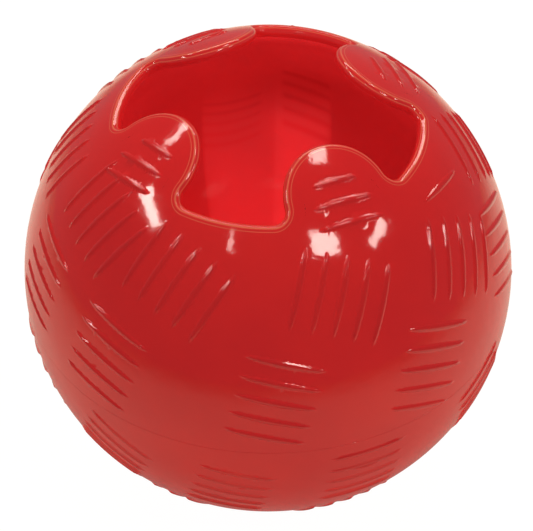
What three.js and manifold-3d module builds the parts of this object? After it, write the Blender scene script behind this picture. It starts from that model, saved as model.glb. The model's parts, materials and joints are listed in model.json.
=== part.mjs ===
// Hollow rubber dog ball with a four-lobed treat mouth, in millimetres.
// +Z points up through the middle of the mouth, and the origin is where the ball stands.
// The ball is two moulded half shells, bonded edge to edge along a level seam. Four lobes of the
// same rubber stand into the mouth, and bend in and out at their roots as treats go through.

import * as THREE from "three";
import { mergeVertices } from "three/addons/utils/BufferGeometryUtils.js";
import Module from "manifold-3d";

// Ball and wall
const ballDiameter = 100;
const wall = 2.6;
const seamDrop = 2.3; // how far the seam lies below the ball's middle
const seamGap = 0.3;

// Mouth: a reach is measured along the ball's surface from the middle of the mouth
const lobeTipReach = 17.8;
const lobeRadius = 12;
const notchReach = 32.4;
const cornerFillet = 2.5;

// Lobe roots, where each lobe turns on a knuckle as thick as the wall
const rootInset = 0.8; // from the narrowest place between two notches towards the tip
const knuckleMargin = 0.4;
const knuckleGap = 0.3;

// Ribs
const ribLength = 16.6;
const ribWidth = 1.5;
const ribHeight = 0.3;
const ribSpacing = 4.3;
const ribsInPatch = 5;

// Facets
const meridians = 40;
const rings = 21; // odd, so that one runs round the ball's widest place
const lobeArcSteps = 12;
const cornerArcSteps = 4;
const notchArcSteps = 4;
const knuckleFacets = 20;
const lipSteps = [-1, -0.6, 0, 0.6, 1]; // from the inner face of the wall to the outer one

// The lobes, by azimuth in degrees. Ribs cross each lobe, turned away from its own line.
const lobes = [
  { name: "petal_back_right", azimuth: 45, ribTurn: 76 },
  { name: "petal_back_left", azimuth: 135, ribTurn: 90 },
  { name: "petal_front_left", azimuth: 225, ribTurn: 105 },
  { name: "petal_front_right", azimuth: 315, ribTurn: 85 },
];
const lobeRibLengths = [9.4, 12.6, 14]; // from the root outwards

// Patches of ribs, in degrees: polar is the angle from the middle of the mouth, and turn is how
// far the ribs lie from the line that runs straight down from the mouth.
const ribPatches = [
  // Round the mouth
  { polar: 54, azimuth: 189, turn: -1 },
  { polar: 50, azimuth: 227, turn: -15 },
  { polar: 53, azimuth: 259, turn: -20 },
  { polar: 55, azimuth: 305, turn: -23 },
  { polar: 61, azimuth: 345, turn: -32 },
  { polar: 54, azimuth: 23, turn: -45 },
  { polar: 54, azimuth: 65, turn: -30 },
  { polar: 54, azimuth: 107, turn: -20 },
  { polar: 54, azimuth: 149, turn: -10 },
  // Above the seam
  { polar: 74, azimuth: 215, turn: 84 },
  { polar: 78, azimuth: 244, turn: 78 },
  { polar: 78, azimuth: 287, turn: 76 },
  { polar: 80, azimuth: 326, turn: 67 },
  { polar: 72, azimuth: 5, turn: 67 },
  { polar: 77, azimuth: 47, turn: 70 },
  { polar: 77, azimuth: 89, turn: 74 },
  { polar: 77, azimuth: 131, turn: 78 },
  { polar: 77, azimuth: 173, turn: 82 },
  // Below the seam
  { polar: 109, azimuth: 244, turn: 62 },
  { polar: 111, azimuth: 276, turn: 78 },
  { polar: 107, azimuth: 309, turn: 90 },
  { polar: 104, azimuth: 348, turn: -67 },
  { polar: 108, azimuth: 26, turn: -80 },
  { polar: 108, azimuth: 62, turn: 90 },
  { polar: 108, azimuth: 98, turn: 80 },
  { polar: 108, azimuth: 134, turn: 70 },
  { polar: 108, azimuth: 172, turn: -80 },
  { polar: 108, azimuth: 208, turn: -70 },
  // Underside
  { polar: 136, azimuth: 10, turn: 4 },
  { polar: 136, azimuth: 70, turn: -6 },
  { polar: 136, azimuth: 130, turn: 4 },
  { polar: 136, azimuth: 190, turn: -6 },
  { polar: 136, azimuth: 250, turn: 4 },
  { polar: 136, azimuth: 310, turn: -6 },
  { polar: 158, azimuth: 40, turn: 90 },
  { polar: 158, azimuth: 160, turn: 90 },
  { polar: 158, azimuth: 280, turn: 90 },
];
const looseRib = { polar: 46, azimuth: 354, turn: 79 };
const looseRibLength = 13.2;

// Worked out from the sizes above. The ball stands on its lowest facet, half a ring below level.
const radians = THREE.MathUtils.degToRad;
const degrees = THREE.MathUtils.radToDeg;
const radius = ballDiameter / 2;
const ringStep = 180 / rings;
const standHeight = radius * Math.cos(radians(ringStep / 2));
const lowestFacet = radius * Math.cos(radians(ringStep / 2)) ** 2; // the middle of a facet

// Each corner fillet touches its lobe's arc and the notch's arc. The three centres, of the mouth,
// the lobe and the fillet, make a triangle, and two of its angles set where the arcs meet.
const lobeCentreReach = lobeTipReach + lobeRadius;
const filletReach = notchReach - cornerFillet;
const lobeToFillet = lobeRadius + cornerFillet;
const filletTurn = angleBetween(lobeCentreReach, filletReach, lobeToFillet);
const touchTurn = Math.PI - angleBetween(lobeCentreReach, lobeToFillet, filletReach);
const neckReach = lobeCentreReach + lobeRadius * Math.cos(touchTurn);
const neckHalfWidth = lobeRadius * Math.sin(touchTurn);

// A knuckle is straight and the wall is round, so it lies midway between the wall's middle at the
// centre of the neck and at its sides, and is thick enough to reach through the wall at both.
const rootReach = neckReach - rootInset;
const neckSagitta = radius - Math.sqrt(radius ** 2 - neckHalfWidth ** 2);
const knuckleDepth = (wall + neckSagitta) / 2;
const knuckleRadius = knuckleDepth + knuckleMargin;
const knuckleLength = 2 * filletReach * Math.sin(filletTurn);

const wasm = await Module();
wasm.setup();

// The angle between two sides of a triangle, from the lengths of all three.
function angleBetween(side, otherSide, opposite) {
  return Math.acos((side ** 2 + otherSide ** 2 - opposite ** 2) / (2 * side * otherSide));
}

// A unit vector from the ball's middle.
function direction(polar, azimuth) {
  return new THREE.Vector3(
    Math.sin(radians(polar)) * Math.cos(radians(azimuth)),
    Math.sin(radians(polar)) * Math.sin(radians(azimuth)),
    Math.cos(radians(polar)),
  );
}

function solidOf(geometry) {
  const bare = geometry.clone();
  bare.deleteAttribute("normal");
  bare.deleteAttribute("uv");
  const merged = mergeVertices(bare, 1e-5);
  const corners = merged.index.array;
  const triangles = [];
  for (let first = 0; first < corners.length; first += 3) {
    const [a, b, c] = corners.slice(first, first + 3);
    if (a !== b && b !== c && c !== a) triangles.push(a, b, c);
  }
  return new wasm.Manifold(new wasm.Mesh({
    numProp: 3,
    vertProperties: new Float32Array(merged.attributes.position.array),
    triVerts: new Uint32Array(triangles),
  }));
}

function meshOf(name, solid) {
  const { vertProperties, triVerts } = solid.getMesh();
  const geometry = new THREE.BufferGeometry();
  geometry.setAttribute("position", new THREE.BufferAttribute(vertProperties, 3));
  geometry.setIndex(new THREE.BufferAttribute(triVerts, 1));
  const rubber = new THREE.MeshStandardMaterial({ color: 0xc02226, roughness: 0.18, metalness: 0 });
  const mesh = new THREE.Mesh(geometry, rubber);
  mesh.name = name;
  mesh.position.z = standHeight;
  return mesh;
}

// A faceted ball whose rings start half a step from the poles, so it has a small flat at each.
function ballSolid(ballRadius) {
  const flatHeight = ballRadius * Math.cos(radians(ringStep / 2));
  const profile = [new THREE.Vector2(0, -flatHeight)];
  for (let ring = 0; ring < rings; ring++) {
    const turn = radians((ring + 0.5) * ringStep);
    profile.push(new THREE.Vector2(Math.sin(turn), -Math.cos(turn)).multiplyScalar(ballRadius));
  }
  profile.push(new THREE.Vector2(0, flatHeight));
  return solidOf(new THREE.LatheGeometry(profile, meridians).rotateX(Math.PI / 2));
}

// A low ridge with two pointed ends, laid on the ball and bent to its curve. It starts below the
// ball's facets, so that it rises out of every one of them.
function ribSolid({ polar, azimuth, turn }, sideways, length) {
  const up = direction(polar, azimuth);
  const downhill = direction(polar + 90, azimuth);
  const round = new THREE.Vector3().crossVectors(up, downhill);
  const along = downhill.multiplyScalar(Math.cos(radians(turn)));
  along.addScaledVector(round, Math.sin(radians(turn)));
  const across = new THREE.Vector3().crossVectors(along, up);

  const ridge = new THREE.SphereGeometry(1, 4, 3);
  ridge.scale(ribWidth / 2, length / 2, radius + ribHeight - lowestFacet);
  const corners = ridge.attributes.position;
  for (let corner = 0; corner < corners.count; corner++) {
    const flat = across.clone().multiplyScalar(corners.getX(corner) + sideways);
    flat.addScaledVector(along, corners.getY(corner));
    const bend = flat.length() / radius;
    const place = up.clone().multiplyScalar(Math.cos(bend)).add(flat.setLength(Math.sin(bend)));
    place.multiplyScalar(lowestFacet + corners.getZ(corner));
    corners.setXYZ(corner, place.x, place.y, place.z);
  }
  return solidOf(ridge);
}

function allRibs() {
  const ribs = [ribSolid(looseRib, 0, looseRibLength)];
  for (const patch of ribPatches) {
    for (let row = 0; row < ribsInPatch; row++) {
      const sideways = (row - (ribsInPatch - 1) / 2) * ribSpacing;
      ribs.push(ribSolid(patch, sideways, ribLength));
    }
  }
  for (const { azimuth, ribTurn } of lobes) {
    lobeRibLengths.forEach((length, row) => {
      const polar = degrees((rootReach + row * ribSpacing) / radius);
      ribs.push(ribSolid({ polar, azimuth, turn: ribTurn }, 0, length));
    });
  }
  return ribs;
}

// Points of an arc on the flat map of the ball's top, without its last one.
function arcPoints(centre, arcRadius, from, to, steps) {
  return Array.from({ length: steps }, (_, step) => {
    const angle = THREE.MathUtils.lerp(from, to, step / steps);
    return new THREE.Vector2(Math.cos(angle), Math.sin(angle)).multiplyScalar(arcRadius).add(centre);
  });
}

// The mouth's outline on that map, moved outward by growth. A lobe's arc shrinks as it does.
function mouthOutline(growth) {
  const middle = new THREE.Vector2(0, 0);
  const mapPoint = (reach, turn) => new THREE.Vector2(reach, 0).rotateAround(middle, turn);
  return lobes.flatMap(({ azimuth }, place) => {
    const lobe = radians(azimuth);
    const next = lobes[(place + 1) % lobes.length];
    const nextLobe = lobe + THREE.MathUtils.euclideanModulo(radians(next.azimuth) - lobe, 2 * Math.PI);
    const firstFillet = mapPoint(filletReach, lobe - filletTurn);
    const secondFillet = mapPoint(filletReach, lobe + filletTurn);
    const corner = cornerFillet + growth;
    const facing = Math.PI - touchTurn;
    return [
      ...arcPoints(firstFillet, corner, lobe - filletTurn, lobe + facing, cornerArcSteps),
      ...arcPoints(mapPoint(lobeCentreReach, lobe), lobeRadius - growth,
        lobe + 2 * Math.PI - touchTurn, lobe + touchTurn, lobeArcSteps),
      ...arcPoints(secondFillet, corner, lobe - facing, lobe + filletTurn, cornerArcSteps),
      ...arcPoints(middle, notchReach + growth, lobe + filletTurn, nextLobe - filletTurn,
        notchArcSteps),
    ];
  });
}

// The cutter for the mouth is narrowest at the middle of the wall, which leaves a round lip there.
function mouthCutter() {
  const half = wall / 2;
  const sections = lipSteps.map((step) => ({
    growth: half * (1 - Math.sqrt(1 - step ** 2)),
    distance: radius - half + step * half,
  }));
  const aboveBall = radius / Math.cos((notchReach + wall) / radius) + wall;
  sections.unshift({ growth: half, distance: radius - 3 * wall });
  sections.push({ growth: half, distance: aboveBall });

  const corners = [];
  for (const { growth, distance } of sections) {
    for (const point of mouthOutline(growth)) {
      const polar = degrees(point.length() / radius);
      const azimuth = degrees(point.angle());
      corners.push(...direction(polar, azimuth).multiplyScalar(distance));
    }
  }
  const outline = mouthOutline(half);
  const count = outline.length;
  const triangles = [];
  for (let section = 0; section < sections.length - 1; section++) {
    for (let corner = 0; corner < count; corner++) {
      const low = section * count + corner;
      const nextLow = section * count + ((corner + 1) % count);
      triangles.push(low, nextLow, nextLow + count, low, nextLow + count, low + count);
    }
  }
  const top = (sections.length - 1) * count;
  for (const [a, b, c] of THREE.ShapeUtils.triangulateShape(outline, [])) {
    triangles.push(c, b, a, top + a, top + b, top + c);
  }
  const cutter = new THREE.BufferGeometry();
  cutter.setAttribute("position", new THREE.Float32BufferAttribute(corners, 3));
  cutter.setIndex(triangles);
  return solidOf(cutter);
}

// The space of one lobe: its knuckle, grown by a clearance, and a block from there past its tip.
function lobeSpace({ azimuth }, clearance) {
  const rootPolar = degrees(rootReach / radius);
  const up = direction(rootPolar, azimuth);
  const downhill = direction(rootPolar + 90, azimuth);
  const round = new THREE.Vector3().crossVectors(up, downhill);
  const frame = new THREE.Matrix4().makeBasis(downhill, round, up);
  frame.setPosition(up.multiplyScalar(radius - knuckleDepth));

  const pastTip = rootReach - lobeTipReach + wall;
  const blockHeight = 4 * knuckleRadius;
  const block = new THREE.BoxGeometry(pastTip, knuckleLength, blockHeight);
  block.translate(-pastTip / 2, 0, 0);
  const knuckle = new THREE.CylinderGeometry(
    knuckleRadius + clearance,
    knuckleRadius + clearance,
    knuckleLength + 2 * clearance,
    knuckleFacets,
  );
  return solidOf(block.applyMatrix4(frame)).add(solidOf(knuckle.applyMatrix4(frame)));
}

// Everything above or below a level cut, as a block larger than the ball.
function halfSpace(sign) {
  const side = 2 * ballDiameter;
  const block = new THREE.BoxGeometry(side, side, side);
  block.translate(0, 0, -seamDrop + (sign * (side + seamGap)) / 2);
  return solidOf(block);
}

const ribbedBall = allRibs().reduce((whole, rib) => whole.add(rib), ballSolid(radius));
const shell = ribbedBall.subtract(ballSolid(radius - wall)).subtract(mouthCutter());
const upperHalf = shell.intersect(halfSpace(1));

const ball = new THREE.Group();
ball.add(meshOf("lower_shell", shell.intersect(halfSpace(-1))));
ball.add(meshOf("upper_shell", lobes.reduce(
  (rest, lobe) => rest.subtract(lobeSpace(lobe, knuckleGap)),
  upperHalf,
)));
for (const lobe of lobes) {
  ball.add(meshOf(lobe.name, upperHalf.intersect(lobeSpace(lobe, 0))));
}

export default ball;
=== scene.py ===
import json
import math

import bpy
import numpy as np
from mathutils import Matrix, Vector

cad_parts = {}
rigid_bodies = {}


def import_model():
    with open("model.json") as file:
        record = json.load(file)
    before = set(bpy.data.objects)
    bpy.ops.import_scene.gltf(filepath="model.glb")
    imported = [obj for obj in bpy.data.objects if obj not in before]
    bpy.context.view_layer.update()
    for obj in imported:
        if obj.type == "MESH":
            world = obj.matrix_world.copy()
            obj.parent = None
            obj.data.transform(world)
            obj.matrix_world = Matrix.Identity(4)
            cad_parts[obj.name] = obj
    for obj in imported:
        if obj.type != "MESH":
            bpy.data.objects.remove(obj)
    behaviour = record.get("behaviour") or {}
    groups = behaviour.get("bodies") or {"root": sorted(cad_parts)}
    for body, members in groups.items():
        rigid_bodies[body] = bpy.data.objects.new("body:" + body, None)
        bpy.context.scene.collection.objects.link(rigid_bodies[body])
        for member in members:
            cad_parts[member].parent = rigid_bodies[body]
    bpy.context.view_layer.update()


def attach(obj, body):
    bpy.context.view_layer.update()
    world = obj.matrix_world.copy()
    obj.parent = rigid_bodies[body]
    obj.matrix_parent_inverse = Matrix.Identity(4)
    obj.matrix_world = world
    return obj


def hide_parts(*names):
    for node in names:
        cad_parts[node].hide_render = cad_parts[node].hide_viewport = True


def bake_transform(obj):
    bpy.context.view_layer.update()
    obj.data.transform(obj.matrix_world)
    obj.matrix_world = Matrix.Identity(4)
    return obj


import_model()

# Upper half shell: the top of a hollow ball of clear red rubber, moulded in one piece with its ribs
# and with the four round lobes of its mouth. The mouth's lip is fully rounded. It is bonded to the
# lower half along the seam.
MM = 0.001
ball_radius = 50 * MM
wall = 2.6 * MM
half_wall = wall / 2
wall_middle = ball_radius - half_wall
ball_centre = 49.860 * MM  # its height above the floor
seam_drop = 2.3 * MM
seam_round = 0.12 * MM
lobe_tip_reach = 17.8 * MM  # a reach is measured along the ball from the middle of the mouth
lobe_radius = 12 * MM
notch_reach = 32.4 * MM
corner_fillet = 2.5 * MM
lobe_azimuths = {
    "petal_back_right": 45,
    "petal_back_left": 135,
    "petal_front_left": 225,
    "petal_front_right": 315,
}
stations = {"corner": 13, "lobe": 36, "notch": 28}  # steps along each arc of the mouth's edge
collar_offset = 4 * MM  # rows keep to the shape of the mouth's edge as far as this
collar_reach = 44 * MM  # and are plain rings from here down


def third_side_angle(side, other_side, opposite):
    """The angle between two sides of a triangle."""
    return math.acos((side**2 + other_side**2 - opposite**2) / (2 * side * other_side))


lobe_centre_reach = lobe_tip_reach + lobe_radius
fillet_reach = notch_reach - corner_fillet
fillet_turn = third_side_angle(lobe_centre_reach, fillet_reach, lobe_radius + corner_fillet)
touch_turn = math.pi - third_side_angle(
    lobe_centre_reach, lobe_radius + corner_fillet, fillet_reach
)


def arc(centre_reach, centre_azimuth, radius, start, end, steps):
    """Points of an arc on the flat map of the ball's top, without its last one."""
    angle = np.linspace(start, end, steps, endpoint=False)
    middle = centre_reach * np.array([math.cos(centre_azimuth), math.sin(centre_azimuth)])
    return middle + radius * np.column_stack([np.cos(angle), np.sin(angle)])


def mouth_edge(offset):
    """The mouth's edge on the flat map, moved into the rubber by offset."""
    arcs = []
    for azimuth in lobe_azimuths.values():
        a = math.radians(azimuth)
        bend = corner_fillet + offset
        inner_turn = math.pi - touch_turn
        before, after = a - fillet_turn, a + fillet_turn
        arcs.append(
            arc(fillet_reach, before, bend, before, a + inner_turn, stations["corner"])
        )
        arcs.append(
            arc(
                lobe_centre_reach,
                a,
                lobe_radius - offset,
                a + 2 * math.pi - touch_turn,
                a + touch_turn,
                stations["lobe"],
            )
        )
        arcs.append(arc(fillet_reach, after, bend, a - inner_turn, after, stations["corner"]))
        arcs.append(
            arc(
                0,
                0,
                notch_reach + offset,
                after,
                a + math.pi / 2 - fillet_turn,
                stations["notch"],
            )
        )
    return np.vstack(arcs)


steps_round = 4 * (2 * stations["corner"] + stations["lobe"] + stations["notch"])
first_azimuth = 45 - 90 * (stations["corner"] + stations["lobe"] / 2) / (steps_round / 4)
ring_azimuths = np.radians(first_azimuth + np.arange(steps_round) * 360 / steps_round)


def ring(reach, azimuths=ring_azimuths):
    """A ring on the flat map."""
    return reach * np.column_stack([np.cos(azimuths), np.sin(azimuths)])


def on_ball(flat, radius):
    """A row of the flat map laid round a ball of that radius."""
    reach = np.hypot(flat[:, 0], flat[:, 1])
    polar = reach / ball_radius
    level = np.sin(polar) / np.maximum(reach, 1e-12)
    rise = ball_centre + radius * np.cos(polar)
    return np.column_stack([radius * level * flat[:, 0], radius * level * flat[:, 1], rise])


def collar(share):
    """A row between the mouth's edge and the first plain ring."""
    return (1 - share) * mouth_edge(collar_offset) + share * ring(collar_reach)


def seam_reach(radius):
    """How far down the seam's level lies on a ball of that radius."""
    return ball_radius * math.acos(-seam_drop / radius)


def rolled_net(name, rows, highlight_shares=None):
    """A flat net of squares, rolled round the ball row by row and joined where its edges meet."""
    steps = len(rows[0])
    bpy.ops.object.select_all(action="DESELECT")
    bpy.ops.mesh.primitive_grid_add(x_subdivisions=steps, y_subdivisions=len(rows) - 1, size=1)
    piece = bpy.context.object
    piece.name = name
    corners = np.zeros(len(piece.data.vertices) * 3)
    piece.data.vertices.foreach_get("co", corners)
    corners = corners.reshape(-1, 3)
    station = np.rint((corners[:, 0] + 0.5) * steps).astype(int) % steps
    row = np.rint((corners[:, 1] + 0.5) * (len(rows) - 1)).astype(int)
    places = np.array(rows)[row, station]
    piece.data.vertices.foreach_set("co", places.ravel())
    piece.data.update()
    # Each row's share of the lip's painted highlight goes into an attribute of its corners.
    if highlight_shares:
        share = piece.data.attributes.new("painted_lip_highlight", "FLOAT", "POINT")
        share.data.foreach_set("value", np.array(highlight_shares, np.float32)[row])
    bpy.ops.object.mode_set(mode="EDIT")
    bpy.ops.mesh.select_all(action="SELECT")
    bpy.ops.mesh.remove_doubles(threshold=1e-7)
    bpy.ops.mesh.normals_make_consistent(inside=False)
    bpy.ops.object.mode_set(mode="OBJECT")
    bpy.ops.object.shade_smooth()
    return piece


# Three fine pale lines run along the lip. They are painted highlights, put into its colour. Two lie
# on its round, given in degrees up from its edge, and one on the outside, given by its distance.
highlight_turns = {30: 0.55, 60: 0.2, 67.5: 0.65, 75: 0.25}
highlight_offset = 1.54 * MM
outside_highlight = 0.6
lip_turns = np.linspace(0, 90, 13)
outside_offsets = np.array([1.42, 1.54, 1.66, 1.9, 2.3, 2.8, 3.4, 4.0]) * MM
inside_offsets = np.array([3.0, 2.0]) * MM
seam_turns = np.radians([30, 60, 90])
upper_rows = []
highlight_shares = []
for degrees in lip_turns:
    turn = math.radians(degrees)
    edge = mouth_edge(half_wall * (1 - math.cos(turn)))
    upper_rows.append(on_ball(edge, wall_middle + half_wall * math.sin(turn)))
    highlight_shares.append(highlight_turns.get(degrees, 0))
for offset in outside_offsets:
    upper_rows.append(on_ball(mouth_edge(offset), ball_radius))
    highlight_shares.append(outside_highlight if offset == highlight_offset else 0)
for share in np.linspace(0, 1, 17)[1:]:
    upper_rows.append(on_ball(collar(share), ball_radius))
for reach in np.linspace(collar_reach, seam_reach(ball_radius) - seam_round, 40)[1:]:
    upper_rows.append(on_ball(ring(reach), ball_radius))
for turn in seam_turns:
    reach = seam_reach(ball_radius) - seam_round * (1 - math.sin(turn))
    upper_rows.append(on_ball(ring(reach), ball_radius - seam_round * (1 - math.cos(turn))))
inner_radius = ball_radius - wall
for reach in np.linspace(seam_reach(inner_radius), collar_reach, 15):
    upper_rows.append(on_ball(ring(reach), inner_radius))
for share in np.linspace(1, 0, 10)[1:]:
    upper_rows.append(on_ball(collar(share), inner_radius))
for offset in inside_offsets:
    upper_rows.append(on_ball(mouth_edge(offset), inner_radius))
for turn in np.radians(np.linspace(90, 0, 7)):
    edge = mouth_edge(half_wall * (1 - math.cos(turn)))
    upper_rows.append(on_ball(edge, wall_middle - half_wall * math.sin(turn)))
highlight_shares += [0] * (len(upper_rows) - len(highlight_shares))
upper_half = rolled_net("upper_half", upper_rows, highlight_shares)

# Ribs: low leaf-shaped ridges on the outside, raised in the mould, in patches of five side by side.
# Each lobe has three more across it, and one lies by itself near the mouth. The net is cut finer
# under each rib, and lifted to the rib's round back.
rib_length = 16.6 * MM
rib_width = 1.65 * MM
rib_height = 0.35 * MM
rib_spacing = 4.3 * MM
rib_margin = 0.32 * MM  # how far past a rib the fine net goes
rib_narrowing = 0.45  # the lower, the blunter a rib's ends are
rib_rounding = 1.3  # the higher, the narrower its ridge is
rib_run_out = 2.6  # the higher, the steeper it rises from its ends
fine_step = 0.36 * MM
most_cuts = 4
skin_depth = 0.02 * MM  # a corner this near to the inner or outer radius lies on that skin
face_sag = 0.2 * MM  # and so does a face, the middle of which lies deeper than its corners
root_reach = 26.163 * MM
# Middle of each patch, in degrees down from the mouth and round it, and the turn of its ribs
rib_patches = [
    # Round the mouth
    (54, 189, -1),
    (50, 227, -15),
    (53, 259, -20),
    (55, 305, -23),
    (61, 345, -32),
    (54, 23, -45),
    (54, 65, -30),
    (54, 107, -20),
    (54, 149, -10),
    # Above the seam
    (74, 215, 84),
    (78, 244, 78),
    (78, 287, 76),
    (80, 326, 67),
    (72, 5, 67),
    (77, 47, 70),
    (77, 89, 74),
    (77, 131, 78),
    (77, 173, 82),
    # Below the seam
    (109, 244, 62),
    (111, 276, 78),
    (107, 309, 90),
    (104, 348, -67),
    (108, 26, -80),
    (108, 62, 90),
    (108, 98, 80),
    (108, 134, 70),
    (108, 172, -80),
    (108, 208, -70),
    # Underside
    (136, 10, 4),
    (136, 70, -6),
    (136, 130, 4),
    (136, 190, -6),
    (136, 250, 4),
    (136, 310, -6),
    (158, 40, 90),
    (158, 160, 90),
    (158, 280, 90),
]
lobe_rib_turns = [76, 90, 105, 85]
lobe_rib_lengths = np.array([9.4, 12.6, 14]) * MM  # from the root outwards


def outward(polar, azimuth):
    """A unit vector from the ball's middle, from two angles in degrees."""
    p, a = math.radians(polar), math.radians(azimuth)
    return np.array([math.sin(p) * math.cos(a), math.sin(p) * math.sin(a), math.cos(p)])


def rib(polar, azimuth, turn, sideways, length):
    """A rib's middle, the way it runs and the way across it, with its shift and its length."""
    up = outward(polar, azimuth)
    downhill = outward(polar + 90, azimuth)
    t = math.radians(turn)
    along = math.cos(t) * downhill + math.sin(t) * np.cross(up, downhill)
    return up, along, np.cross(along, up), sideways, length


ribs = [rib(46, 354, 79, 0, 13.2 * MM)]
for polar, azimuth, turn in rib_patches:
    for row in range(5):
        ribs.append(rib(polar, azimuth, turn, (row - 2) * rib_spacing, rib_length))
for azimuth, turn in zip(lobe_azimuths.values(), lobe_rib_turns):
    for row, length in enumerate(lobe_rib_lengths):
        polar = math.degrees((root_reach + row * rib_spacing) / ball_radius)
        ribs.append(rib(polar, azimuth, turn, 0, length))


def rib_places(directions, one_rib):
    """How far along a rib and across it each direction lies. Those far from it are left out."""
    up, along, across, sideways, length = one_rib
    near = np.flatnonzero(directions @ up > math.cos((length + 12 * MM) / ball_radius))
    close = directions[near]
    bend = np.arccos(np.clip(close @ up, -1, 1))
    stretch = ball_radius * bend / np.maximum(np.sin(bend), 1e-9)
    return near, stretch * (close @ along), stretch * (close @ across) - sideways


def relief(directions):
    """How high the ribs stand above the ball in each direction."""
    height = np.zeros(len(directions))
    for one_rib in ribs:
        near, along, across = rib_places(directions, one_rib)
        share = np.clip(1 - (2 * along / one_rib[4]) ** 2, 0, 1)
        half_width = rib_width / 2 * share**rib_narrowing
        across_share = across / np.maximum(half_width, 1e-9)
        back = np.clip(1 - across_share**2, 0, 1) ** rib_rounding
        lift = rib_height * back * np.minimum(1, rib_run_out * share)
        height[near] = np.maximum(height[near], lift)
    return height


def select_faces(piece, marked):
    """Opens a piece in edit mode with only the marked faces selected."""
    bpy.ops.object.select_all(action="DESELECT")
    piece.select_set(True)
    bpy.context.view_layer.objects.active = piece
    bpy.ops.object.mode_set(mode="EDIT")
    bpy.ops.mesh.select_mode(type="FACE")
    bpy.ops.mesh.select_all(action="DESELECT")
    bpy.ops.object.mode_set(mode="OBJECT")
    piece.data.polygons.foreach_set("select", marked)
    bpy.ops.object.mode_set(mode="EDIT")


def cut_finer_under_ribs(piece):
    """Subdivides the outside under each rib, the more the longer a face is."""
    mesh = piece.data
    middles = np.zeros(len(mesh.polygons) * 3)
    mesh.polygons.foreach_get("center", middles)
    middles = middles.reshape(-1, 3) - [0, 0, ball_centre]
    distance = np.linalg.norm(middles, axis=1)
    directions = middles / distance[:, None]
    covered = np.zeros(len(middles), bool)
    for one_rib in ribs:
        near, along, across = rib_places(directions, one_rib)
        long_enough = np.abs(along) < one_rib[4] / 2 + rib_margin
        covered[near[long_enough & (np.abs(across) < rib_width / 2 + rib_margin)]] = True
    covered &= distance > ball_radius - face_sag
    ends = np.zeros(len(mesh.edges) * 2, int)
    mesh.edges.foreach_get("vertices", ends)
    corners = np.zeros(len(mesh.vertices) * 3)
    mesh.vertices.foreach_get("co", corners)
    corners = corners.reshape(-1, 3)
    lengths = np.linalg.norm(corners[ends[0::2]] - corners[ends[1::2]], axis=1)
    edge_at = np.zeros(len(mesh.loops), int)
    mesh.loops.foreach_get("edge_index", edge_at)
    starts = np.zeros(len(mesh.polygons), int)
    mesh.polygons.foreach_get("loop_start", starts)
    longest = np.maximum.reduceat(lengths[edge_at], starts)
    cuts = np.clip(np.ceil(longest / fine_step).astype(int) - 1, 1, most_cuts)
    for number in range(most_cuts, 0, -1):
        marked = np.zeros(len(mesh.polygons), bool)
        marked[: len(covered)] = covered & (cuts == number)
        select_faces(piece, marked)
        bpy.ops.mesh.subdivide(number_cuts=number)
        bpy.ops.object.mode_set(mode="OBJECT")


def raise_ribs(piece):
    """Lifts the outside to the ribs' shape, and keeps each corner's true normal with it."""
    mesh = piece.data
    corners = np.zeros(len(mesh.vertices) * 3)
    mesh.vertices.foreach_get("co", corners)
    corners = corners.reshape(-1, 3)
    spokes = corners - [0, 0, ball_centre]
    distance = np.linalg.norm(spokes, axis=1)
    directions = spokes / distance[:, None]
    outside = distance > ball_radius - skin_depth
    inside = distance < inner_radius + skin_depth
    lift = relief(directions[outside])
    places = directions[outside] * (ball_radius + lift)[:, None] + [0, 0, ball_centre]
    corners[outside] = places
    mesh.vertices.foreach_set("co", corners.ravel())
    mesh.update()
    normals = np.zeros(len(mesh.vertices) * 3)
    mesh.vertices.foreach_get("normal", normals)
    normals = normals.reshape(-1, 3)
    ups = directions[outside]
    helper = np.where(np.abs(ups[:, 2:3]) < 0.9, [[0, 0, 1.0]], [[1.0, 0, 0]])
    first = np.cross(helper, ups)
    first /= np.linalg.norm(first, axis=1)[:, None]
    second = np.cross(ups, first)
    step = 0.04 * MM
    slopes = []
    for way in (first, second):
        ahead = relief(ups + way * step / ball_radius)
        behind = relief(ups - way * step / ball_radius)
        slopes.append((ahead - behind) / (2 * step))
    true = ups - slopes[0][:, None] * first - slopes[1][:, None] * second
    normals[outside] = true / np.linalg.norm(true, axis=1)[:, None]
    normals[inside] = -directions[inside]
    kept = mesh.attributes.new("true_normal", "FLOAT_VECTOR", "POINT")
    kept.data.foreach_set("vector", normals.ravel())
    rise = np.zeros(len(mesh.vertices), np.float32)
    rise[outside] = lift / rib_height
    mesh.attributes.new("rib_rise", "FLOAT", "POINT").data.foreach_set("value", rise)


def settle_normals(piece, end_faces=()):
    """Gives each corner its true normal, and an end face its own."""
    mesh = piece.data
    normals = np.zeros(len(mesh.vertices) * 3)
    mesh.attributes["true_normal"].data.foreach_get("vector", normals)
    normals = normals.reshape(-1, 3)
    at = np.zeros(len(mesh.loops), int)
    mesh.loops.foreach_get("vertex_index", at)
    by_corner = normals[at]
    for face in end_faces:
        polygon = mesh.polygons[face]
        by_corner[list(polygon.loop_indices)] = polygon.normal
    mesh.normals_split_custom_set(by_corner.tolist())
    mesh.attributes.remove(mesh.attributes["true_normal"])


cut_finer_under_ribs(upper_half)
raise_ribs(upper_half)

# The rubber: a thermoplastic elastomer, injection moulded in a polished mould. It is clear enough
# to let light through its wall, so the inside glows red, and it has a wet-looking gloss with the
# faint waviness of a soft moulding.
deep_red = "C5171A"
bright_red = "D01D1B"
glow_red = "A2565A"
lip_highlight_red = "DE8E68"
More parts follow.
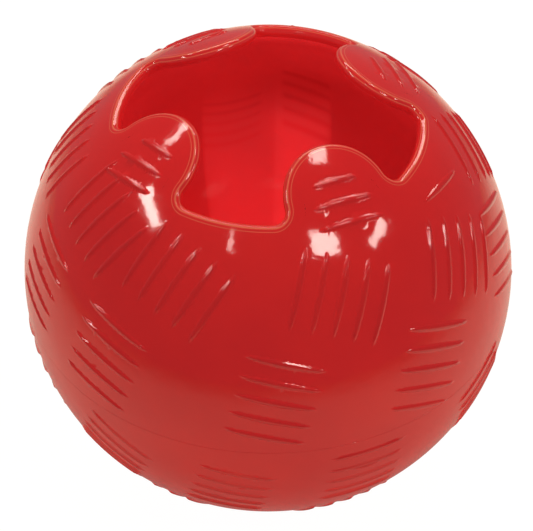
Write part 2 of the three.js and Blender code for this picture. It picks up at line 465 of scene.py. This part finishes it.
# Painted light: the panel is a patch of the back wall that lets more light through, to show a
# bright patch of light inside.
lit_patch_sides = (88.7, 122.7)  # degrees round from +X
lit_patch_step = 103.4
lit_patch_top = 12 * MM  # above the ball's middle, where the panel starts to show
lit_patch_full = -3 * MM
lit_patch_foot = (-26 * MM, -38 * MM)  # below it fades out again
painted_light_gain = 0.8  # how much more light comes through the panel than through the rest
gain_past_step = 0.6  # the share of that gain past the panel's third line
rib_dimming = 0.6  # the share of the light that comes through a rib


def add_node(tree, kind, links=(), inputs=(), **settings):
    """Adds a node with its settings, the values of its inputs and the links that feed it."""
    node = tree.nodes.new(kind)
    for name, value in settings.items():
        setattr(node, name, value)
    for name, value in dict(inputs).items():
        node.inputs[name].default_value = value
    for name, output in dict(links).items():
        tree.links.new(output, node.inputs[name])
    return node


def linear(code):
    """A linear colour from an sRGB hex value."""
    parts = [int(code[i : i + 2], 16) / 255 for i in (0, 2, 4)]
    return [p / 12.92 if p <= 0.04045 else ((p + 0.055) / 1.055) ** 2.4 for p in parts] + [1]


rubber = bpy.data.materials.new("moulded_clear_red_rubber")
rubber.use_nodes = True
tree = rubber.node_tree
tree.nodes.clear()
place = add_node(tree, "ShaderNodeTexCoord").outputs["Object"]
# Slow streaks of pigment, about 25 mm long
pigment = add_node(
    tree,
    "ShaderNodeTexNoise",
    links={"Vector": place},
    inputs={"Scale": 1 / (25 * MM), "Detail": 3, "Roughness": 0.5},
)
colour = add_node(tree, "ShaderNodeValToRGB", links={"Fac": pigment.outputs["Fac"]})
colour.color_ramp.elements[0].position = 0.35
colour.color_ramp.elements[0].color = linear(deep_red)
colour.color_ramp.elements[1].position = 0.7
colour.color_ramp.elements[1].color = linear(bright_red)
# The lip's painted highlight lines mix the colour towards a pale red.
painted_lip_highlight = add_node(tree, "ShaderNodeAttribute", attribute_name="painted_lip_highlight").outputs["Fac"]
colour = add_node(
    tree,
    "ShaderNodeMix",
    data_type="RGBA",
    links={"Factor": painted_lip_highlight, "A": colour.outputs["Color"]},
    inputs={"B": linear(lip_highlight_red)},
)
# The skin's waviness: slow swells about 4 mm from crest to crest, and finer ones of 1.5 mm on them,
# a few hundredths of a millimetre high
swell = add_node(
    tree,
    "ShaderNodeTexNoise",
    links={"Vector": place},
    inputs={"Scale": 1 / (4 * MM), "Detail": 1, "Roughness": 0.5},
)
swells = add_node(
    tree,
    "ShaderNodeBump",
    links={"Height": swell.outputs["Fac"]},
    inputs={"Strength": 1, "Distance": 0.05 * MM},
)
skin = add_node(
    tree,
    "ShaderNodeTexNoise",
    links={"Vector": place},
    inputs={"Scale": 1 / (1.5 * MM), "Detail": 2, "Roughness": 0.55},
)
waves = add_node(
    tree,
    "ShaderNodeBump",
    links={"Height": skin.outputs["Fac"], "Normal": swells.outputs["Normal"]},
    inputs={"Strength": 1, "Distance": 0.018 * MM},
)
# Handling has dulled it in patches about 8 mm across
dulling = add_node(
    tree,
    "ShaderNodeTexNoise",
    links={"Vector": place},
    inputs={"Scale": 1 / (8 * MM), "Detail": 4, "Roughness": 0.6},
)
gloss = add_node(
    tree,
    "ShaderNodeMapRange",
    links={"Value": dulling.outputs["Fac"]},
    inputs={"From Min": 0.3, "From Max": 0.7, "To Min": 0.05, "To Max": 0.09},
)
surface = add_node(
    tree,
    "ShaderNodeBsdfPrincipled",
    links={
        "Base Color": colour.outputs["Result"],
        "Roughness": gloss.outputs["Result"],
        "Normal": waves.outputs["Normal"],
    },
    inputs={"IOR": 1.5},
)
# Painted light: a patch of the back wall lets more light through than the rest, so that a bright
# patch of light shows inside the ball. It lies between two upright edges, and a third edge runs
# down through it, past which it lets less through.
parts = add_node(tree, "ShaderNodeSeparateXYZ", links={"Vector": place}).outputs


def calculate(operation, *terms):
    """A Math node. Each term is a number or the output of another node."""
    numbers = {at: term for at, term in enumerate(terms) if isinstance(term, (int, float))}
    links = {at: term for at, term in enumerate(terms) if at not in numbers}
    node = add_node(tree, "ShaderNodeMath", operation=operation, links=links, inputs=numbers)
    return node.outputs[0]


def soft_step(value, start, end, low=0.0, high=1.0):
    """Goes softly from low to high as value goes from start to end."""
    step = add_node(
        tree,
        "ShaderNodeMapRange",
        interpolation_type="SMOOTHSTEP",
        links={"Value": value},
        inputs={"From Min": start, "From Max": end, "To Min": low, "To Max": high},
    )
    return step.outputs["Result"]


turn = calculate("ARCTAN2", parts["Y"], parts["X"])
rise = calculate("SUBTRACT", parts["Z"], ball_centre)
patch_edge_width = math.radians(0.8)
sides = [math.radians(side) for side in lit_patch_sides]
patch_step = math.radians(lit_patch_step)
between_sides = calculate(
    "MULTIPLY",
    soft_step(turn, sides[0] - patch_edge_width, sides[0] + patch_edge_width),
    soft_step(turn, sides[1] - patch_edge_width, sides[1] + patch_edge_width, 1, 0),
)
painted_light_patch = calculate("MULTIPLY", between_sides, soft_step(rise, lit_patch_top, lit_patch_full))
painted_light_patch = calculate("MULTIPLY", painted_light_patch, soft_step(rise, lit_patch_foot[1], lit_patch_foot[0]))
painted_light_patch = calculate(
    "MULTIPLY",
    painted_light_patch,
    soft_step(turn, patch_step - patch_edge_width, patch_step + patch_edge_width, 1, gain_past_step),
)
# Painted shade: two patches of darker lines in the bright patch stand for the shadows of ribs on
# the back in the light that comes through. Each patch has its middle, its tilt and bow, its number
# of lines, their spacing and their strength.
shadow_patches = [
    (85.5, 89, 20, 0, 5, 3.9 * MM, 0.24),
    (90.5, 119.5, 7, 35, 5, 2.9 * MM, 0.14),
]
shadow_length = 22 * MM
shadow_fade = 1.5 * MM
polar_turn = calculate("ARCCOSINE", calculate("DIVIDE", rise, inner_radius))
shade = 1.0
for polar, azimuth, tilt, bow, lines, spacing, strength in shadow_patches:
    t = math.radians(tilt)
    level = calculate("MULTIPLY", calculate("SUBTRACT", turn, math.radians(azimuth)), inner_radius)
    down = calculate(
        "MULTIPLY", calculate("SUBTRACT", polar_turn, math.radians(polar)), inner_radius
    )
    bowed = calculate("MULTIPLY", calculate("MULTIPLY", level, level), bow)
    across = calculate(
        "ADD",
        calculate("MULTIPLY", level, math.sin(t)),
        calculate("MULTIPLY_ADD", down, math.cos(t), bowed),
    )
    from_line = calculate("PINGPONG", across, spacing / 2)
    line = soft_step(from_line, 0, 0.4 * spacing, strength, 0)
    for length, half in ((level, shadow_length / 2), (across, lines * spacing / 2)):
        in_patch = soft_step(calculate("ABSOLUTE", length), half - shadow_fade, half, 1, 0)
        line = calculate("MULTIPLY", line, in_patch)
    line = calculate("MULTIPLY", line, between_sides)
    shade = calculate("MULTIPLY", shade, calculate("SUBTRACT", 1, line))
# A rib is thicker, so less light comes through it
own_rib = add_node(tree, "ShaderNodeAttribute", attribute_name="rib_rise").outputs["Fac"]
shade = calculate("MULTIPLY", shade, soft_step(own_rib, 0, 1, 1, rib_dimming))
# The light let through, with the painted patch of light and the painted rib shadows in it.
clearness_and_painted_light = calculate("MULTIPLY", calculate("MULTIPLY_ADD", painted_light_patch, painted_light_gain, 1), shade)
glow = add_node(
    tree,
    "ShaderNodeMix",
    data_type="RGBA",
    blend_type="MULTIPLY",
    clamp_result=False,
    links={"B": clearness_and_painted_light},
    inputs={"Factor": 1, "A": linear(glow_red)},
)
through = add_node(
    tree,
    "ShaderNodeBsdfTranslucent",
    links={"Color": glow.outputs["Result"], "Normal": waves.outputs["Normal"]},
)
both = add_node(
    tree,
    "ShaderNodeAddShader",
    links={0: surface.outputs["BSDF"], 1: through.outputs["BSDF"]},
)
add_node(tree, "ShaderNodeOutputMaterial", links={"Surface": both.outputs["Shader"]})

# The bond: where two pieces are one rubber, at the seam and at the lobes' necks, their faces lie on
# each other and nothing stops the light between them.
bond = bpy.data.materials.new("clear_bond")
bond.use_nodes = True
tree = bond.node_tree
tree.nodes.clear()
clear = add_node(tree, "ShaderNodeBsdfTransparent")
add_node(tree, "ShaderNodeOutputMaterial", links={"Surface": clear.outputs["BSDF"]})

# Lobes: four round tongues that stand into the mouth, moulded in one with the upper half. Each is
# free round its edge and goes over into the half shell at its neck.
root_polar = (lobe_centre_reach + lobe_radius * math.cos(touch_turn)) / ball_radius
lobe_room = 14.6 * MM  # more than half a lobe's width, and less than reaches the next one
lobe_least_rise = 35 * MM  # a lobe lies higher than this above the ball's middle
lobe_least_reach = 5 * MM  # and further out than this from the middle of the mouth
plane_play = 0.01 * MM  # how far off its plane a cut's flat face may lie
many_corners = 24  # a cut's flat face has more corners than this, and no other face has
ball_middle = Vector((0, 0, ball_centre))
root_planes = {}  # for each lobe, the way down the wall at its neck and the way across it
for name, azimuth in lobe_azimuths.items():
    a = math.radians(azimuth)
    outwards = Vector((math.cos(a), math.sin(a), 0))
    downhill = outwards * math.cos(root_polar) - Vector((0, 0, math.sin(root_polar)))
    root_planes[name] = (downhill, Vector((-math.sin(a), math.cos(a), 0)))


def faces_of_lobe(mesh, downhill, across, beyond):
    """Marks the faces of one lobe, from its tip down to a distance past its neck."""
    middles = np.zeros(len(mesh.polygons) * 3)
    mesh.polygons.foreach_get("center", middles)
    middles = middles.reshape(-1, 3) - np.array(ball_middle)
    past, side = middles @ np.array(downhill), middles @ np.array(across)
    outwards = np.array(across.cross(Vector((0, 0, 1))))
    high = middles[:, 2] > lobe_least_rise
    this_side = high & (middles @ outwards > lobe_least_reach)
    return this_side & (past < beyond) & (np.abs(side) < lobe_room)


def close_cut(piece, downhill, across):
    """Fills the cut through the wall at a lobe's neck with one flat face."""
    bpy.ops.object.select_all(action="DESELECT")
    piece.select_set(True)
    bpy.context.view_layer.objects.active = piece
    bpy.ops.object.mode_set(mode="EDIT")
    bpy.ops.mesh.select_mode(type="EDGE")
    bpy.ops.mesh.select_all(action="DESELECT")
    bpy.ops.mesh.select_non_manifold()
    bpy.ops.object.mode_set(mode="OBJECT")
    mesh = piece.data
    for edge in mesh.edges:
        if edge.select:
            ends = [mesh.vertices[corner].co for corner in edge.vertices]
            middle = (ends[0] + ends[1]) / 2 - ball_middle
            off_plane = abs(middle.dot(downhill)) > plane_play
            if off_plane or abs(middle.dot(across)) > lobe_room:
                edge.select = False
    bpy.ops.object.mode_set(mode="EDIT")
    bpy.ops.mesh.edge_face_add()
    bpy.ops.object.mode_set(mode="OBJECT")


lobe_pieces = {}
for name, (downhill, across) in root_planes.items():
    past_neck = 3 * MM
    select_faces(upper_half, faces_of_lobe(upper_half.data, downhill, across, past_neck))
    bpy.ops.mesh.bisect(plane_co=ball_middle, plane_no=downhill, threshold=1e-7)
    bpy.ops.object.mode_set(mode="OBJECT")
    select_faces(upper_half, faces_of_lobe(upper_half.data, downhill, across, 0))
    before = set(bpy.data.objects)
    bpy.ops.mesh.separate(type="SELECTED")
    bpy.ops.object.mode_set(mode="OBJECT")
    lobe = (set(bpy.data.objects) - before).pop()
    lobe.name = name.replace("petal", "lobe")
    lobe_pieces[name] = lobe
    for piece in (upper_half, lobe):
        close_cut(piece, downhill, across)


seam_level = ball_centre - seam_drop


def bonded_faces(mesh):
    """The flat faces at the seam and at the lobes' necks, where one rubber goes into the next."""
    found = []
    for face in mesh.polygons:
        if abs(face.center.z - seam_level) < plane_play and abs(face.normal.z) > 0.99:
            found.append(face.index)
        for downhill, across in root_planes.values():
            in_plane = abs((face.center - ball_middle).dot(downhill)) < plane_play
            faces_neck = abs(face.normal.dot(downhill)) > 0.99
            if len(face.vertices) > many_corners and in_plane and faces_neck:
                found.append(face.index)
    return found


def finish_skin(piece):
    """Makes the cuts' faces point out and gives the skin its true normals and its rubber."""
    bpy.ops.object.select_all(action="DESELECT")
    piece.select_set(True)
    bpy.context.view_layer.objects.active = piece
    bpy.ops.object.mode_set(mode="EDIT")
    bpy.ops.mesh.select_all(action="SELECT")
    bpy.ops.mesh.normals_make_consistent(inside=False)
    bpy.ops.object.mode_set(mode="OBJECT")
    ends = bonded_faces(piece.data)
    settle_normals(piece, ends)
    piece.data.materials.clear()
    piece.data.materials.append(rubber)
    piece.data.materials.append(bond)
    for face in ends:
        piece.data.polygons[face].material_index = 1


finish_skin(upper_half)
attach(upper_half, "shell")
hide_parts("upper_shell")
for name, lobe in lobe_pieces.items():
    finish_skin(lobe)
    downhill = root_planes[name][0]
    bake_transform(lobe)
    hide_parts(name)

# Lower half shell: the bottom cup of the ball, moulded in the same rubber with its own ribs. Its
# edge is bonded to the upper half, and the two rounded corners leave a fine line all round.
lower_azimuths = np.radians(np.arange(0, 360, 1.5))
lower_rows = []
for reach in np.linspace(math.pi * ball_radius, seam_reach(ball_radius) + seam_round, 61):
    lower_rows.append(on_ball(ring(reach, lower_azimuths), ball_radius))
for turn in seam_turns:
    reach = seam_reach(ball_radius) + seam_round * (1 - math.sin(turn))
    radius = ball_radius - seam_round * (1 - math.cos(turn))
    lower_rows.append(on_ball(ring(reach, lower_azimuths), radius))
for reach in np.linspace(seam_reach(inner_radius), math.pi * ball_radius, 34):
    lower_rows.append(on_ball(ring(reach, lower_azimuths), inner_radius))
lower_half = rolled_net("lower_half", lower_rows)
cut_finer_under_ribs(lower_half)
raise_ribs(lower_half)
finish_skin(lower_half)
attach(lower_half, "shell")
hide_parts("lower_shell")

# The table: a sheet of matt white paper that the ball stands on, a little wider than the camera
# sees. It lies flat and is lit until it is as white as the wall behind it.
table_radius = 0.30
table_shine = 0.93  # the share of the sheet's look that the camera sees as plain white
table_in_gloss = 0.3  # and the share that the ball's gloss sees, as in a dim room
bpy.ops.object.select_all(action="DESELECT")
bpy.ops.mesh.primitive_circle_add(
    vertices=96,
    radius=table_radius,
    fill_type="NGON",
    location=(0, 0, ball_centre - ball_radius),
)
table = bpy.context.object
table.name = "white_table"
bpy.ops.object.transform_apply(location=True)
sheet = bpy.data.materials.new("white_paper_sheet")
sheet.use_nodes = True
tree = sheet.node_tree
tree.nodes.clear()
# The light falls on it as a soft pool, with its rim in the dark. The ball keeps the lamps off the
# sheet near its own foot, and that shows in the ball's gloss.
place = add_node(tree, "ShaderNodeTexCoord").outputs["Object"]
away = add_node(tree, "ShaderNodeVectorMath", operation="LENGTH", links={0: place})
# Painted light: the pool of light, and the shadow near the ball's foot that only the gloss sees.
pool = soft_step(away.outputs["Value"], 0.15, 0.28, 1, 0.4)
foot = soft_step(away.outputs["Value"], 0.03, 0.11, 0.6, 0)
rays = add_node(tree, "ShaderNodeLightPath").outputs
foot = calculate("SUBTRACT", 1, calculate("MULTIPLY", foot, rays["Is Glossy Ray"]))
pool = calculate("MULTIPLY", pool, foot)
seen = calculate("MAXIMUM", rays["Is Camera Ray"], rays["Is Transmission Ray"])
mirrored = calculate("MULTIPLY", rays["Is Glossy Ray"], pool)
in_gloss = calculate("MULTIPLY", mirrored, table_in_gloss)
share = calculate("MULTIPLY_ADD", seen, table_shine, in_gloss)
# The paper's own colour with the painted pool of light on it.
paper_tint_and_pool = add_node(
    tree,
    "ShaderNodeMix",
    data_type="RGBA",
    blend_type="MULTIPLY",
    links={"B": pool},
    inputs={"Factor": 1, "A": linear("FCE6C0")},
)
paper = add_node(tree, "ShaderNodeBsdfDiffuse", links={"Color": paper_tint_and_pool.outputs["Result"]})
glowing = add_node(
    tree,
    "ShaderNodeEmission",
    inputs={"Color": linear("FFFFFF"), "Strength": 1.06},
)
both = add_node(
    tree,
    "ShaderNodeMixShader",
    links={0: share, 1: paper.outputs["BSDF"], 2: glowing.outputs["Emission"]},
)
add_node(tree, "ShaderNodeOutputMaterial", links={"Surface": both.outputs["Shader"]})
table.data.materials.append(sheet)

# The studio: a dim room with softboxes round the ball. Each is seen as a bright window in the
# rubber's gloss. The camera sees white behind the table.
room_strength = 0.2
added_for_gloss = 0.05  # and for light that goes through the rubber
added_for_camera = 0.8
world = bpy.data.worlds.new("studio")
bpy.context.scene.world = world
world.use_nodes = True
world.node_tree.nodes["Background"].inputs["Color"].default_value = linear("FFFFFF")
tree = world.node_tree
rays = add_node(tree, "ShaderNodeLightPath").outputs
bent = calculate("MAXIMUM", rays["Is Glossy Ray"], rays["Is Transmission Ray"])
strength = calculate("MULTIPLY_ADD", bent, added_for_gloss, room_strength)
strength = calculate("MULTIPLY_ADD", rays["Is Camera Ray"], added_for_camera, strength)
tree.links.new(strength, tree.nodes["Background"].inputs["Strength"])
softbox_distance = 0.8
softboxes = [
    # name, elevation, azimuth, width and height in degrees, roll, radiance
    ("left", 38, 201, 18.5, 5, -2, 20),
    ("front_right", 48.5, 324, 11.5, 10.5, -20, 17),
    ("right", 36.5, 356, 13, 4, 12, 15),
    ("back_left", 46.5, 159, 10.5, 4.2, -20, 13),
    ("back_right", 69.5, 37, 9, 7, 0, 14),
    ("front", 52.5, 258, 2.2, 8.5, 20, 10),
    ("behind", 45, 103, 50, 8, 0, 7),
]
for name, elevation, azimuth, width, height, roll, radiance in softboxes:
    way = Vector(outward(90 - elevation, azimuth))
    light = bpy.data.lights.new(name + "_softbox", "AREA")
    light.shape = "RECTANGLE"
    light.size = 2 * softbox_distance * math.tan(math.radians(width / 2))
    light.size_y = 2 * softbox_distance * math.tan(math.radians(height / 2))
    light.color = linear("FFF6EC")[:3]
    light.energy = radiance * math.pi * light.size * light.size_y
    lamp = bpy.data.objects.new(name + "_softbox", light)
    bpy.context.scene.collection.objects.link(lamp)
    facing = way.to_track_quat("Z", "Y").to_matrix().to_4x4()
    lamp.matrix_world = (
        Matrix.Translation(ball_middle + way * softbox_distance)
        @ facing
        @ Matrix.Rotation(math.radians(roll), 4, "Z")
    )

# The camera: a long lens, a little to the right of the front and high enough to look into the
# mouth.
camera_elevation = 43.4
camera_azimuth = 285  # degrees round from +X
camera_roll = math.radians(0.44)
camera_distance = 12 * ball_radius
picture_width = 533
back = Vector(outward(90 - camera_elevation, camera_azimuth))
level = Vector((0, 0, 1)).cross(back).normalized()
rising = back.cross(level)
right = level * math.cos(camera_roll) + rising * math.sin(camera_roll)
above = rising * math.cos(camera_roll) - level * math.sin(camera_roll)
lens = bpy.data.cameras.new("camera")
lens.sensor_fit = "HORIZONTAL"
lens.sensor_width = 36
lens.lens = 196.7
lens.clip_start = 0.01
lens.shift_x = -1.5 / picture_width
lens.shift_y = 2.5 / picture_width
camera = bpy.data.objects.new("camera", lens)
bpy.context.scene.collection.objects.link(camera)
camera.matrix_world = (
    Matrix.Translation(ball_middle + back * camera_distance)
    @ Matrix([right, above, back]).transposed().to_4x4()
)
bpy.context.scene.camera = camera
bpy.context.scene.view_settings.view_transform = "Standard"
